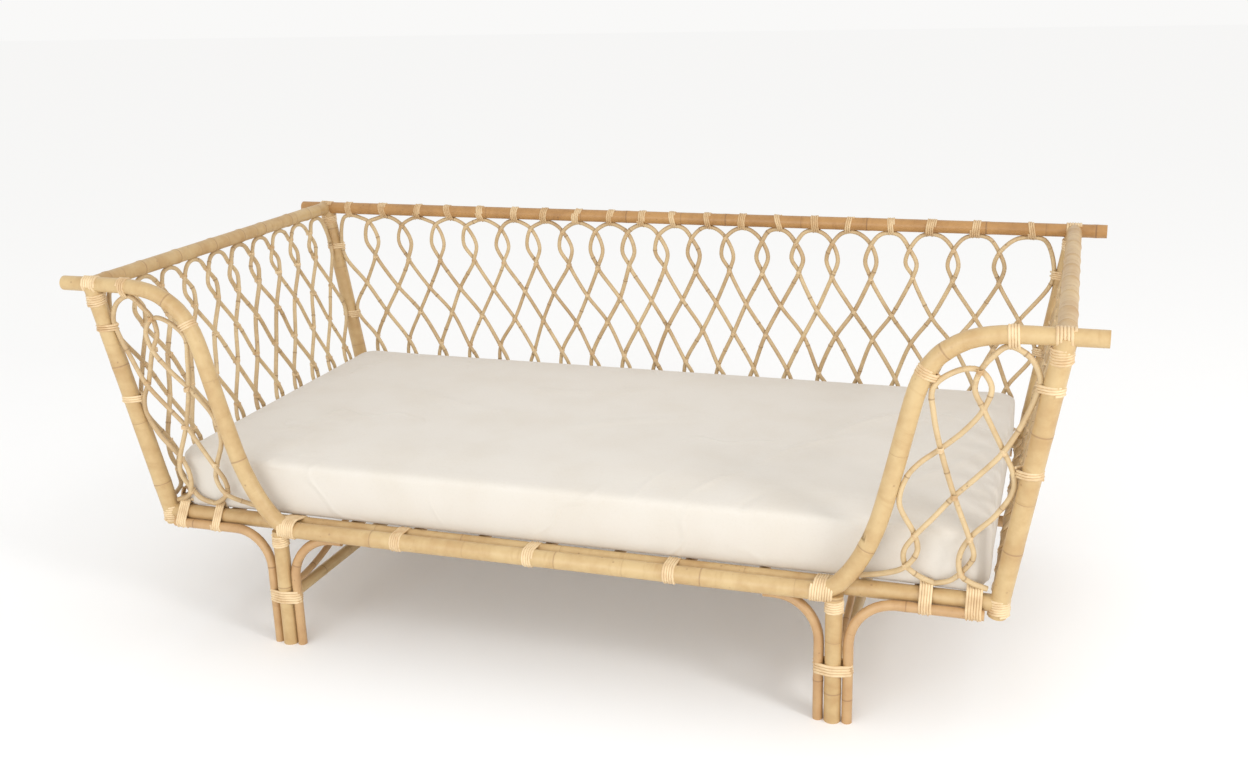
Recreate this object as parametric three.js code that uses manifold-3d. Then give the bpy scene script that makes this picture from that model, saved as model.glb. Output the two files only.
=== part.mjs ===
// Rattan daybed: bent front pole running into both arms, woven cane back and ends,
// slatted base on four bundled legs, loose mattress. Millimetres, +Z up, floor at z = 0.
import * as THREE from 'three';
import { mergeVertices } from 'three/addons/utils/BufferGeometryUtils.js';
import Module from 'manifold-3d';

// ---- driving sizes ------------------------------------------------------------
const POST_TOP = 1028;      // corner post axis from the middle, at top rail height
const POST_FOOT = 940;      // corner post axis from the middle, at base frame height
const RAIL_PAST = 75;       // how far the back rail runs past the end rails
const ARM_PAST = 72;        // how far the arms run past the front posts
const DEPTH = 990;          // front pole axis to back frame axis
const ARM_LEAN = 22;        // arm overhang in front of the front pole
const TOP_Z = 834;          // axis height of arms and top rails
const BASE_Z = 283;         // axis height of front pole and base frame
const POST_DROP = 24;       // posts end this far below the base frame axis
const POLE_R = 17.5;        // bent front pole and top rails
const BASE_R = 18.5;        // base frame rails
const POST_R = 19.5;        // corner posts
const LEG_R = 18;           // leg poles
const LEG_X = 628;          // leg axis from the middle
const SIDE_R = 10.5;        // canes each side of a leg
const SIDE_BEND = 88;       // bend radius of those canes
const SIDE_OUT = 30;        // straight run of the inner cane past its bend
const SIDE_DROP = 17.5;     // outer cane's axis below the base rail it lies against
const STRETCH_R = 14;       // front-to-rear stretcher
const STRETCH_Z = 110;
const ARCH_R = 8;           // cane arched over the stretcher
const SLAT_R = 12;
const SLATS_ASIDE = 5;      // slats on each side of the middle one
const WEAVE_R = 4.7;        // woven canes
const BACK_ARCHES = 20;
const END_ARCHES = 10;
const BACK_FLARE = 0.05;    // arches get this much wider toward the back's ends
const BACK_DRIFT = -30;     // the hand-spaced arches sit this far off centre in mid panel
const EYE_HALF = 17;        // half width of an eye in the weave
const TIE = 3;              // thickness of a wound binding
const LEG_TIE_Z = 119;
const LEG_TIE_H = 26;
const CORNER_TIE_W = 32;    // band round base rail and side cane beside each corner
const MATTRESS_H = 135;
const MATTRESS_SIDE = 7;    // mattress to woven panel, each side
const MATTRESS_R = 22;      // rounding of its long edges
const MATTRESS_CORNER = 46; // rounding of its corners, from above
const GAP = 0.35;           // clearance left between touching pieces

// ---- sizes that follow ----------------------------------------------------------
const TIE_GAP = GAP + 0.3;
const BACK_OUT = Math.max(LEG_R, BASE_R) + TIE_GAP + TIE;       // bindings reach furthest back
const BACK_Y = (DEPTH + ARM_LEAN + POLE_R - BACK_OUT) / 2;      // so that the plan is centred
const FRONT_Y = BACK_Y - DEPTH;
const FRAME_Y = FRONT_Y + POLE_R + BASE_R + GAP;  // base rail and post feet, behind the pole
const RISE = TOP_Z - BASE_Z;
const TOP_UNDER = TOP_Z - POLE_R - GAP;
const BASE_OVER = BASE_Z + BASE_R + GAP;
const climb = (z) => (z - BASE_Z) / RISE;
const postX = (z) => POST_FOOT + (POST_TOP - POST_FOOT) * climb(z);
const armY = (z) => FRONT_Y - ARM_LEAN * climb(z);
const postY = (z) => FRAME_Y + (armY(TOP_Z) - FRAME_Y) * climb(z);   // up to under the arm
const V = (x, y, z) => new THREE.Vector3(x, y, z);

// ---- looks ----------------------------------------------------------------------
const LOOKS = {
  pole: [0xd9b47c, 0.5], cane: [0xcfa66d, 0.55], weave: [0xcdb083, 0.55],
  tie: [0xe6cfa0, 0.6], cloth: [0xece6da, 0.95],
};
const root = new THREE.Group();
root.name = 'daybed';
function add(name, geometry, look) {
  const [color, roughness] = LOOKS[look];
  const mesh = new THREE.Mesh(geometry,
    new THREE.MeshStandardMaterial({ color, roughness, metalness: 0 }));
  mesh.name = name;
  root.add(mesh);
}

// ---- solids -----------------------------------------------------------------------
const wasm = await Module();
wasm.setup();
function solid(geometry) {
  const g = geometry.clone();
  g.deleteAttribute('normal');
  g.deleteAttribute('uv');
  const m = mergeVertices(g, 1e-3);
  return new wasm.Manifold(new wasm.Mesh({
    numProp: 3,
    vertProperties: new Float32Array(m.attributes.position.array),
    triVerts: new Uint32Array(m.index.array),
  }));
}
function geometryOf(manifold) {
  const m = manifold.getMesh();
  const g = new THREE.BufferGeometry();
  g.setAttribute('position', new THREE.BufferAttribute(new Float32Array(m.vertProperties), 3));
  g.setIndex(new THREE.BufferAttribute(new Uint32Array(m.triVerts), 1));
  const flat = g.toNonIndexed();
  flat.computeVertexNormals();
  return flat;
}

// a path through given points, with a section placed at every one of them
class Route extends THREE.Curve {
  constructor(points) { super(); this.points = points; }
  getPoint(t, out = new THREE.Vector3()) {
    const n = this.points.length - 1;
    const i = Math.min(n - 1, Math.floor(t * n));
    return out.copy(this.points[i]).lerp(this.points[i + 1], t * n - i);
  }
  getPointAt(u, out) { return this.getPoint(u, out); }
  getSpacedPoints() { return this.points.map((p) => p.clone()); }
  getTangentAt(u, out = new THREE.Vector3()) {
    const n = this.points.length - 1;
    const i = Math.round(u * n);
    const a = this.points[Math.max(0, i - 1)];
    const b = this.points[Math.min(n, i + 1)];
    return out.copy(b).sub(a).normalize();
  }
}
function disc(radius, sides, turn = 0.5) {
  const shape = new THREE.Shape();
  for (let k = 0; k < sides; k++) {
    const a = 2 * Math.PI * (k + turn) / sides;
    if (k) shape.lineTo(radius * Math.cos(a), radius * Math.sin(a));
    else shape.moveTo(radius * Math.cos(a), radius * Math.sin(a));
  }
  shape.closePath();
  return shape;
}
const tube = (points, radius, sides = 10) => new THREE.ExtrudeGeometry(disc(radius, sides),
  { steps: points.length - 1, extrudePath: new Route(points) });
const smooth = (points, steps) => new THREE.CatmullRomCurve3(points, false, 'centripetal')
  .getSpacedPoints(steps);
// a pole's end shaped to the poles it meets; offcuts beyond them are dropped
function trimmed(body, cutters) {
  const left = cutters.reduce((a, c) => a.subtract(c), body);
  return geometryOf(left.decompose().reduce((a, b) => (a.volume() > b.volume() ? a : b)));
}
const coped = (geometry, cutters) => trimmed(solid(geometry), cutters);
const cutter = (points, radius, sides = 10) => solid(tube(points, radius + GAP, sides));

// ---- bent front pole: rail between the legs, swept up into both arms ---------------
// share of the way from leg to post, and share of the rise
const ARM_SHAPE = [
  [-0.14, 0], [-0.06, 0.004], [0, 0.027], [0.063, 0.077], [0.121, 0.144], [0.193, 0.265],
  [0.264, 0.464], [0.329, 0.676], [0.354, 0.755], [0.389, 0.835], [0.452, 0.907],
  [0.52, 0.947], [0.588, 0.974], [0.666, 0.989], [0.756, 0.998], [0.86, 1], [1, 1],
];
const armPoint = ([s, t], side) => {
  const z = BASE_Z + RISE * t;
  return V(side * (LEG_X + (POST_TOP - LEG_X) * s), armY(z), z);
};
const armAt = (value, from, to) => {      // one coordinate of the arm's axis from another
  const k = armCurve.findIndex((p) => p[from] > value);
  const [a, b] = [armCurve[k - 1], armCurve[k]];
  return a[to] + (b[to] - a[to]) * (value - a[from]) / (b[from] - a[from]);
};
const armEnd = (side) => V(side * (POST_TOP + ARM_PAST), armY(TOP_Z), TOP_Z);
const armCurve = smooth([...ARM_SHAPE.map((p) => armPoint(p, 1)), armEnd(1)], 26);
const poleRoute = [
  ...armCurve.map((p) => V(-p.x, p.y, p.z)).reverse(), V(0, FRONT_Y, BASE_Z), ...armCurve,
];
const BENT = tube(poleRoute, POLE_R, 10);
const bentCut = cutter(poleRoute, POLE_R);
add('bent_front_pole', BENT, 'pole');

// ---- corner posts -------------------------------------------------------------------
const line = (a, b) => [a, b];
const postLine = (side, y, zTop) => {
  const z0 = BASE_Z - POST_DROP;
  return line(V(side * postX(z0), y(z0), z0), V(side * postX(zTop), y(zTop), zTop));
};
const backY = () => BACK_Y;
const posts = {};
for (const [tag, side] of [['left', -1], ['right', 1]]) {
  posts[`front_${tag}`] = postLine(side, postY, TOP_Z - POLE_R / 2);
  posts[`back_${tag}`] = postLine(side, backY, TOP_Z - POLE_R / 2);
}
const postCuts = Object.fromEntries(Object.entries(posts)
  .map(([key, pts]) => [key, cutter(pts, POST_R)]));

// ---- top rails ------------------------------------------------------------------------
const railEnd = POST_TOP + RAIL_PAST;
const backRail = line(V(-railEnd, BACK_Y, TOP_Z), V(railEnd, BACK_Y, TOP_Z));
add('back_top_rail', tube(backRail, POLE_R), 'pole');
const backRailCut = cutter(backRail, POLE_R);
for (const [tag, side] of [['left', -1], ['right', 1]]) {
  const ends = line(V(side * POST_TOP, armY(TOP_Z), TOP_Z), V(side * POST_TOP, BACK_Y, TOP_Z));
  add(`end_top_rail_${tag}`, coped(tube(ends, POLE_R), [backRailCut, bentCut]), 'pole');
  const endCut = cutter(ends, POLE_R);
  for (const row of ['front', 'back']) {
    add(`post_${row}_${tag}`,
      coped(tube(posts[`${row}_${tag}`], POST_R), [endCut, backRailCut, bentCut]), 'pole');
  }
}

// ---- base frame -----------------------------------------------------------------------
const baseFront = line(V(-POST_FOOT, FRAME_Y, BASE_Z), V(POST_FOOT, FRAME_Y, BASE_Z));
const baseBack = line(V(-POST_FOOT, BACK_Y, BASE_Z), V(POST_FOOT, BACK_Y, BASE_Z));
add('base_front_rail', coped(tube(baseFront, BASE_R),
  [postCuts.front_left, postCuts.front_right]), 'pole');
add('base_back_rail', coped(tube(baseBack, BASE_R),
  [postCuts.back_left, postCuts.back_right]), 'pole');
const baseFrontCut = cutter(baseFront, BASE_R);
const baseBackCut = cutter(baseBack, BASE_R);
for (const [tag, side] of [['left', -1], ['right', 1]]) {
  const ends = line(V(side * POST_FOOT, FRAME_Y, BASE_Z), V(side * POST_FOOT, BACK_Y, BASE_Z));
  add(`base_end_rail_${tag}`, coped(tube(ends, BASE_R),
    [postCuts[`front_${tag}`], postCuts[`back_${tag}`], baseFrontCut, baseBackCut]), 'pole');
}

// ---- wound bindings, as closed bands -------------------------------------------------------
// outline drawn tight round a set of circles [a, b, radius]
function wrapOutline(circles, grow) {
  const step = Math.PI / 6;
  const reach = (a) => Math.max(...circles
    .map(([x, y, r]) => x * Math.cos(a) + y * Math.sin(a) + r)) + grow;
  return Array.from({ length: 12 }, (_, k) => {
    const [a, b] = [step * k, step * (k + 1)];
    const [p, q] = [reach(a), reach(b)];
    return new THREE.Vector2((p * Math.sin(b) - q * Math.sin(a)) / Math.sin(step),
      (q * Math.cos(a) - p * Math.cos(b)) / Math.sin(step));
  });
}
function band(circles, height, along, at, hollow = true) {
  const shape = new THREE.Shape(wrapOutline(circles, TIE_GAP + TIE + (hollow ? 0 : GAP)));
  if (hollow) shape.holes.push(new THREE.Path(wrapOutline(circles, TIE_GAP)));
  const g = new THREE.ExtrudeGeometry(shape, { depth: height, bevelEnabled: false });
  g.translate(0, 0, at - height / 2);
  const turned = new THREE.Matrix4().makeBasis(V(0, 1, 0), V(0, 0, 1), V(1, 0, 0));
  if (along === 'x') g.applyMatrix4(turned);
  return g;
}
const FRONT_TIES = [-0.32, -0.02, 0.28];   // shares of the front pole's straight run
const FRONT_TIE_W = 26;
const STRAIGHT_SHARE = 0.66;
const LEG_TOP_TIE_W = 28;
const railPair = [[FRONT_Y, BASE_Z, POLE_R], [FRAME_Y, BASE_Z, BASE_R]];
const tieCuts = [];
function cutForTie(circles, width, at) {
  const cut = solid(band(circles, width + 2 * GAP, 'x', at, false));
  tieCuts.push({ at, reach: width / 2 + SLAT_R + 1, cut });
}
FRONT_TIES.forEach((share, k) => {
  const at = share * (LEG_X + POST_FOOT) * STRAIGHT_SHARE;
  add(`front_rail_binding_${k + 1}`, band(railPair, FRONT_TIE_W, 'x', at), 'tie');
  cutForTie(railPair, FRONT_TIE_W, at);
});
for (const [tag, side] of [['left', -1], ['right', 1]]) {
  const at = side * (LEG_X - LEG_R - 20);
  const risen = armAt(Math.abs(at) + LEG_TOP_TIE_W / 2, 'x', 'z') + GAP;
  const round = [...railPair, [FRONT_Y, risen, POLE_R]];     // the pole is starting to rise
  add(`leg_top_binding_${tag}`, band(round, LEG_TOP_TIE_W, 'x', at), 'tie');
  cutForTie(round, LEG_TOP_TIE_W, at);
}

// ---- slats and the bearer under them ----------------------------------------------------
const SLAT_STEP = (POST_FOOT - BASE_R - SLAT_R) / (SLATS_ASIDE + 0.79);
for (let k = -SLATS_ASIDE; k <= SLATS_ASIDE; k++) {
  const x = k * SLAT_STEP;
  const run = line(V(x, FRAME_Y + BASE_R + GAP, BASE_Z), V(x, BACK_Y - BASE_R - GAP, BASE_Z));
  const near = tieCuts.filter(({ at, reach }) => Math.abs(at - x) < reach);
  const slat = tube(run, SLAT_R, 8);
  add(`slat_${String(k + SLATS_ASIDE + 1).padStart(2, '0')}`,
    near.length ? coped(slat, near.map(({ cut }) => cut)) : slat, 'cane');
}
const BEARER_Y = (FRAME_Y + BACK_Y) / 2;
const BEARER_Z = BASE_Z - SLAT_R - STRETCH_R - GAP;
const bearerEnd = POST_FOOT - BASE_R - GAP;
add('deck_bearer', tube(line(V(-bearerEnd, BEARER_Y, BEARER_Z), V(bearerEnd, BEARER_Y, BEARER_Z)),
  STRETCH_R, 8), 'cane');

// ---- legs, with a bent cane on each side ---------------------------------------------------
const SIDE_GAP = LEG_R + SIDE_R + GAP;
const OUTER_TIP = postX(BASE_Z - POST_DROP) - POST_R * 1.03 - 2;
// the outer front cane lies against the base rail; the inner one tucks in between the two poles
const aside = (reach, drop) => Math.sqrt(reach ** 2 - drop ** 2);
const OUTER_END = [FRAME_Y - aside(BASE_R + SIDE_R + GAP, SIDE_DROP), BASE_Z - SIDE_DROP];
const INNER_Y = (FRONT_Y + FRAME_Y) / 2;
const INNER_END = [INNER_Y, BASE_Z - aside(BASE_R + SIDE_R + GAP, FRAME_Y - INNER_Y)];
const BACK_END = [BACK_Y, BASE_Z - BASE_R - SIDE_R - GAP];
function sideCane(side, way, y, [yEnd, zEnd], tip) {
  // way +1 bends toward the corner, -1 toward the middle
  const x0 = LEG_X + way * SIDE_GAP;
  const straight = way > 0 ? CORNER_TIE_W + 8 : SIDE_OUT;
  const r = Math.min(SIDE_BEND, Math.max(30, Math.abs(tip - x0) - straight));
  const pts = [V(x0, y, 0), V(x0, y, zEnd - r)];
  const bend = 6;
  for (let k = 1; k <= bend; k++) {
    const a = (Math.PI / 2) * k / bend;
    const along = x0 + way * r * (1 - Math.cos(a));
    pts.push(V(along, y + (yEnd - y) * k / bend, zEnd - r + r * Math.sin(a)));
  }
  pts.push(V(tip, yEnd, zEnd));
  return pts.map((p) => V(side * p.x, p.y, p.z));
}
const innerTip = LEG_X - SIDE_GAP - SIDE_BEND - SIDE_OUT;
for (const [tag, side] of [['left', -1], ['right', 1]]) {
  for (const row of ['front', 'back']) {
    const front = row === 'front';
    const y = front ? FRONT_Y : BACK_Y;
    const top = front ? BASE_Z - 3 : BASE_Z - Math.max(BASE_R * 0.75, SLAT_R + GAP);
    const leg = tube(line(V(side * LEG_X, y, 0), V(side * LEG_X, y, top)), LEG_R, 12);
    add(`leg_${row}_${tag}`, coped(leg, front ? [bentCut, baseFrontCut] : [baseBackCut]), 'pole');
    const [outerEnd, innerEnd] = front ? [OUTER_END, INNER_END] : [BACK_END, BACK_END];
    add(`leg_cane_outer_${row}_${tag}`,
      tube(sideCane(side, 1, y, outerEnd, OUTER_TIP), SIDE_R, 8), 'cane');
    add(`leg_cane_inner_${row}_${tag}`,
      tube(sideCane(side, -1, y, innerEnd, innerTip), SIDE_R, 8), 'cane');
    const bundle = [-1, 0, 1].map((k) => [side * LEG_X + k * SIDE_GAP, y, k ? SIDE_R : LEG_R]);
    add(`leg_binding_${row}_${tag}`, band(bundle, LEG_TIE_H, 'z', LEG_TIE_Z), 'tie');
    // rail and outer cane bound together near the corner
    const pair = [[front ? FRAME_Y : BACK_Y, BASE_Z, BASE_R], [...outerEnd, SIDE_R]];
    const at = OUTER_TIP - 4 - CORNER_TIE_W / 2;
    add(`corner_binding_${row}_${tag}`, band(pair, CORNER_TIE_W, 'x', side * at), 'tie');
  }
}

// ---- stretchers with an arched cane over them ------------------------------------------------
const STRETCH_IN = LEG_R + TIE_GAP + TIE + GAP;
const ARCH_LOW = STRETCH_Z + STRETCH_R + ARCH_R + GAP;
const ARCH_HIGH = BEARER_Z - STRETCH_R - ARCH_R - GAP;
for (const [tag, side] of [['left', -1], ['right', 1]]) {
  const x = side * LEG_X;
  const [from, to] = [FRONT_Y + STRETCH_IN, BACK_Y - STRETCH_IN];
  const run = line(V(x, from, STRETCH_Z), V(x, to, STRETCH_Z));
  add(`stretcher_${tag}`, tube(run, STRETCH_R, 10), 'pole');
  const bell = [];
  const steps = 14;
  for (let k = 0; k <= steps; k++) {
    const t = k / steps;
    bell.push(V(x, from + 2 * ARCH_R + (to - from - 4 * ARCH_R) * t,
      ARCH_LOW + (ARCH_HIGH - ARCH_LOW) * (1 - Math.cos(2 * Math.PI * t)) / 2));
  }
  add(`stretcher_arch_${tag}`, tube(bell, ARCH_R, 6), 'cane');
}

// ---- woven panels ---------------------------------------------------------------------------
// Each arch is one cane. Its legs cross the neighbours' at the head and foot of an eye, run
// down as a diamond weave, cross again round a lower eye and turn into the bottom arches.
const WEAVE_TOP = TOP_UNDER - WEAVE_R;
const WEAVE_LOW = BASE_OVER + TIE + 3 * GAP + WEAVE_R;
const weaveZ = (share) => WEAVE_LOW + (WEAVE_TOP - WEAVE_LOW) * share;
// heights of the crossings, as shares of the panel's height
const BACK_ROWS = { head: 0.957, foot: 0.76, second: 0.6, third: 0.43, fourth: 0.24 };
const END_ROWS = { head: 0.947, foot: 0.794, second: 0.618, third: 0.445, fourth: 0.246 };
const LOW_FOOT = 0.09;
// u runs 0..count along the panel; arches are centred at 0.5, 1.5 ... and c is such a centre
function archLeg(c, way, count, rows) {
  const p = [];
  const at = (u, share, push = 0) => {
    p.push([Math.min(count, Math.max(0, u)), weaveZ(share), push * way]);
  };
  const atEdge = (u) => u <= 1e-6 || u >= count - 1e-6;
  const side = c + way * 0.5;
  const mid = (rows.head + rows.foot) / 2;
  at(c, 1);
  at(c + way * 0.3, 0.99);
  if (!atEdge(side)) at(side, rows.head);
  at(side, mid, atEdge(side) ? 0 : EYE_HALF);
  at(side, rows.foot, atEdge(side) ? -EYE_HALF * 0.7 : 0);
  at(c, rows.second);
  at(c - way * 0.5, rows.third);
  const turn = atEdge(c - way * 0.5) ? -1 : 1;       // turned back at the edge pole
  const low = turn < 0 ? c : c - way;
  at(low, rows.fourth);
  at(low, (rows.fourth + LOW_FOOT) / 2, -EYE_HALF * turn * 0.8);
  at(low, LOW_FOOT);
  at(low + turn * way * 0.14, 0.022);
  at(low + turn * way * 0.5, 0);
  return p;
}
// a panel is made upright in the XZ plane, then map(x, y, z) carries its vertices into place
function wovenPanel(name, count, rows, along, map) {
  let all = null;
  for (let i = 0; i < count; i++) {
    const right = archLeg(i + 0.5, 1, count, rows);
    const left = archLeg(i + 0.5, -1, count, rows);
    const route = [...left.reverse(), ...right.slice(1)]
      .map(([u, z, push]) => V(along(u, z) + push, 0, z));
    const cane = solid(tube(route, WEAVE_R, WEAVE_SIDES));
    all = all ? all.add(cane) : cane;
  }
  const g = geometryOf(all.warp((p) => {
    [p[0], p[1], p[2]] = map(p[0], p[1], p[2]);
  }));
  add(name, g, 'weave');
}
const WEAVE_SIDES = 4;
const rim = POST_R * 1.02 + GAP + WEAVE_R;          // from a post's axis to a cane beside it
const backAlong = (u, z) => {
  const v = 2 * u / BACK_ARCHES - 1;
  const flared = v * (1 - BACK_FLARE + BACK_FLARE * v * v);
  return flared * (postX(z) - rim) + BACK_DRIFT * (1 - v * v);
};
wovenPanel('back_weave', BACK_ARCHES, BACK_ROWS, backAlong, (x, y, z) => [x, y + BACK_Y, z]);
const endAlong = (u, z) => {
  const [a, b] = [postY(z) + rim, BACK_Y - rim];
  return a + (b - a) * u / END_ARCHES;
};
for (const [tag, side] of [['left', -1], ['right', 1]]) {
  wovenPanel(`end_weave_${tag}`, END_ARCHES, END_ROWS, endAlong,
    (x, y, z) => [side * postX(z) - y, x, z]);
}

// ---- woven panels inside the arms ------------------------------------------------------------
// Places: share of the way from arm to post at that height, share of the rise. Crossings that
// the two canes share have names. A word in place of a share means touching that pole, and
// under the arm the share is from leg to post.
const headEye = [0.407, 0.867];
const footEye = [0.534, 0.736];
const innerKnot = [0.297, 0.58];
const outerKnot = [0.755, 0.585];
const midKnot = [0.49, 0.406];
const innerLow = [0.293, 0.25];
const outerLow = [0.684, 0.25];
const innerFoot = [0.326, 0.128];
const outerFoot = [0.707, 0.11];
const ARM_WEAVE = [
  [[0.578, 'base'], [0.45, 0.083], innerFoot, [0.268, 0.188], innerLow, [0.385, 0.324], midKnot,
    [0.622, 0.491], outerKnot, [0.84, 0.687], ['post', 0.803], ['post', 0.85], [0.746, 0.923],
    [0.767, 'arm'], [0.432, 0.919], headEye, [0.424, 0.803], footEye, outerKnot, [0.856, 0.515],
    ['post', 0.446], [0.82, 0.346], outerLow, [0.654, 0.18], outerFoot, [0.786, 0.077],
    [0.905, 'base']],
  [[0.106, 'base'], [0.217, 0.075], innerFoot, [0.359, 0.19], innerLow, ['arm', 0.373],
    ['arm', 0.473], [0.174, 0.527], innerKnot, [0.436, 0.654], footEye, [0.545, 0.814], headEye,
    [0.249, 0.868], ['arm', 0.803], [0.176, 0.709], innerKnot, midKnot, outerLow, [0.75, 0.179],
    outerFoot, [0.657, 0.077], [0.578, 'base']],
];
const armRim = POLE_R + GAP + WEAVE_R;
const toArm = (x, z) => Math.min(...armCurve.map((p) => Math.hypot(p.x - x, p.z - z)));
function armPlace([across, up]) {
  const pz = up === 'base' ? WEAVE_LOW : up === 'arm' ? TOP_Z - armRim : BASE_Z + RISE * up;
  const [atArm, atPost] = [armAt(pz, 'z', 'x'), postX(pz)];
  const px = across === 'post' ? atPost - rim * 1.03
    : across === 'arm' ? atArm + armRim * 1.16
      : up === 'arm' ? LEG_X + (atPost - LEG_X) * across : atArm + (atPost - atArm) * across;
  const [dArm, dPost] = [toArm(px, pz) - armRim, postX(pz) - rim - px].map((d) => Math.max(0, d));
  const share = Math.max(dArm / (dArm + dPost + 1e-6), 1 - (pz - WEAVE_LOW) / 60);
  return V(px, armY(pz) + (postY(pz) - armY(pz)) * Math.min(1, share), pz);
}
for (const [tag, side] of [['left', -1], ['right', 1]]) {
  const canes = ARM_WEAVE.map((points) => {
    const route = smooth(points.map(armPlace), 44)
      .map((p) => V(side * p.x, p.y, p.z));
    return solid(tube(route, WEAVE_R, WEAVE_SIDES));
  });
  const poles = [bentCut, postCuts[`front_${tag}`], baseFrontCut];
  add(`arm_weave_${tag}`, trimmed(canes[0].add(canes[1]), poles), 'weave');
}

// ---- mattress ----------------------------------------------------------------------------------
const deckZ = BASE_Z + SLAT_R + GAP;
const halfL = postX(deckZ) - WEAVE_R - MATTRESS_SIDE;
const near = FRAME_Y + WEAVE_R + 5;
const far = BACK_Y - POLE_R - MATTRESS_SIDE;        // so that it lifts out past the back top rail
const plan = new THREE.Shape();
const [mx, my] = [halfL - MATTRESS_R, (far - near) / 2 - MATTRESS_R];
const cr = MATTRESS_CORNER - MATTRESS_R;
plan.moveTo(-mx + cr, -my);
plan.lineTo(mx - cr, -my).absarc(mx - cr, -my + cr, cr, -Math.PI / 2, 0);
plan.lineTo(mx, my - cr).absarc(mx - cr, my - cr, cr, 0, Math.PI / 2);
plan.lineTo(-mx + cr, my).absarc(-mx + cr, my - cr, cr, Math.PI / 2, Math.PI);
plan.lineTo(-mx, -my + cr).absarc(-mx + cr, -my + cr, cr, Math.PI, Math.PI * 1.5);
const pad = new THREE.ExtrudeGeometry(plan, {
  depth: MATTRESS_H - 2 * MATTRESS_R,
  bevelEnabled: true,
  bevelThickness: MATTRESS_R,
  bevelSize: MATTRESS_R,
  bevelSegments: 4,
  curveSegments: 3,
});
pad.translate(0, (near + far) / 2, deckZ + MATTRESS_R);
add('mattress', geometryOf(solid(pad)), 'cloth');

export default root;
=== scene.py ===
import bpy
import bmesh
import math
import random
from mathutils import Matrix, Vector
from mathutils.kdtree import KDTree


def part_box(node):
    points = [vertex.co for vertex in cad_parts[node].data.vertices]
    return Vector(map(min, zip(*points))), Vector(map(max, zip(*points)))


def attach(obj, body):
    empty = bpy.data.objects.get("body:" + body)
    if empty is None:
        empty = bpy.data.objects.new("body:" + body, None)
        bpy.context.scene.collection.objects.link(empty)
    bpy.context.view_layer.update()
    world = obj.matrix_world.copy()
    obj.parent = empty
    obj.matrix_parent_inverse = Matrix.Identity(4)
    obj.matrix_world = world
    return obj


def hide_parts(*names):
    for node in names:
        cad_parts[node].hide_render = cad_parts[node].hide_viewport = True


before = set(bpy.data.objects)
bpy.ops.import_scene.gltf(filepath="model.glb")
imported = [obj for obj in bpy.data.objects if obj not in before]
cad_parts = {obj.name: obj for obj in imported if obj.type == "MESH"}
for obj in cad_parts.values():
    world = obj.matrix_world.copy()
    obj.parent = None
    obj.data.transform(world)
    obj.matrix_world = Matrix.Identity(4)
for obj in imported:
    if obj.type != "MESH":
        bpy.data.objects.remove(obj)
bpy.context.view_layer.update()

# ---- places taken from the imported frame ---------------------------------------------
SIDES = (("left", -1), ("right", 1))


def middle(node):
    low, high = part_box(node)
    return (low + high) / 2


def half(node):
    low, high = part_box(node)
    return (high - low) / 2


back_rail_mid = middle("back_top_rail")
TOP_Z = back_rail_mid.z
BACK_Y = back_rail_mid.y
TOP_R = half("back_top_rail").z
RAIL_END = half("back_top_rail").x
TOP_X = abs(middle("end_top_rail_right").x)
BASE_Z = middle("base_front_rail").z
BASE_R = half("base_front_rail").z
FRAME_Y = middle("base_front_rail").y
FOOT_X = abs(middle("base_end_rail_right").x)
LEG_R = half("leg_back_right").x
LEG_X = abs(middle("leg_back_right").x)
ARM_END = half("bent_front_pole").x
FRONT_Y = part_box("bent_front_pole")[1].y - TOP_R
ARM_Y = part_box("bent_front_pole")[0].y + TOP_R
FOOT_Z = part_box("post_back_right")[0].z
FRONT_POLE_R = 0.0187       # bent front pole between the legs
ARM_R = 0.0172              # the same pole where the arms are tied
ARM_TOP_R = 0.0168          # and over the posts
POST_R = 0.0195
STRETCH_R = 0.014
CANE_R = 0.0105             # canes beside the legs
CANE_BEND = 0.088
ARCH_R = 0.008
WEAVE_R = 0.0047
RISE = TOP_Z - BASE_Z


def climb(z):
    return (z - BASE_Z) / RISE


def post_x(z):
    return FOOT_X + (TOP_X - FOOT_X) * climb(z)


def arm_y(z):
    return FRONT_Y + (ARM_Y - FRONT_Y) * climb(z)


def post_y(z):
    return FRAME_Y + (ARM_Y - FRAME_Y) * climb(z)


# ---- camera, floor and light ----------------------------------------------------------
FLOOR_SIZE = 60


def make_camera():
    data = bpy.data.cameras.new("camera")
    data.lens = 38.93
    data.sensor_width = 36
    data.clip_end = 200
    azimuth = 0.32877
    pitch = 0.296635
    roll = -0.028194
    forward = Vector((-math.sin(azimuth) * math.cos(pitch),
                      math.cos(azimuth) * math.cos(pitch),
                      -math.sin(pitch)))
    level = Vector((math.cos(azimuth), math.sin(azimuth), 0))
    above = level.cross(forward)
    right = math.cos(roll) * level + math.sin(roll) * above
    up = -math.sin(roll) * level + math.cos(roll) * above
    turn = Matrix((right, up, -forward)).transposed().to_4x4()
    camera = bpy.data.objects.new("camera", data)
    camera.matrix_world = Matrix.Translation((1.0275, -2.9037, 1.4637)) @ turn
    bpy.context.scene.collection.objects.link(camera)
    bpy.context.scene.camera = camera


def make_floor():
    shape = bmesh.new()
    bmesh.ops.create_grid(shape, x_segments=1, y_segments=1, size=FLOOR_SIZE / 2)
    mesh = bpy.data.meshes.new("floor")
    shape.to_mesh(mesh)
    shape.free()
    floor = bpy.data.objects.new("floor", mesh)
    bpy.context.scene.collection.objects.link(floor)
    paint = bpy.data.materials.new("floor_paint")
    paint.use_nodes = True
    surface = paint.node_tree.nodes["Principled BSDF"]
    surface.inputs["Base Color"].default_value = (0.975, 0.975, 0.975, 1)
    surface.inputs["Roughness"].default_value = 1.0
    surface.inputs["Specular IOR Level"].default_value = 0.0
    mesh.materials.append(paint)


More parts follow.
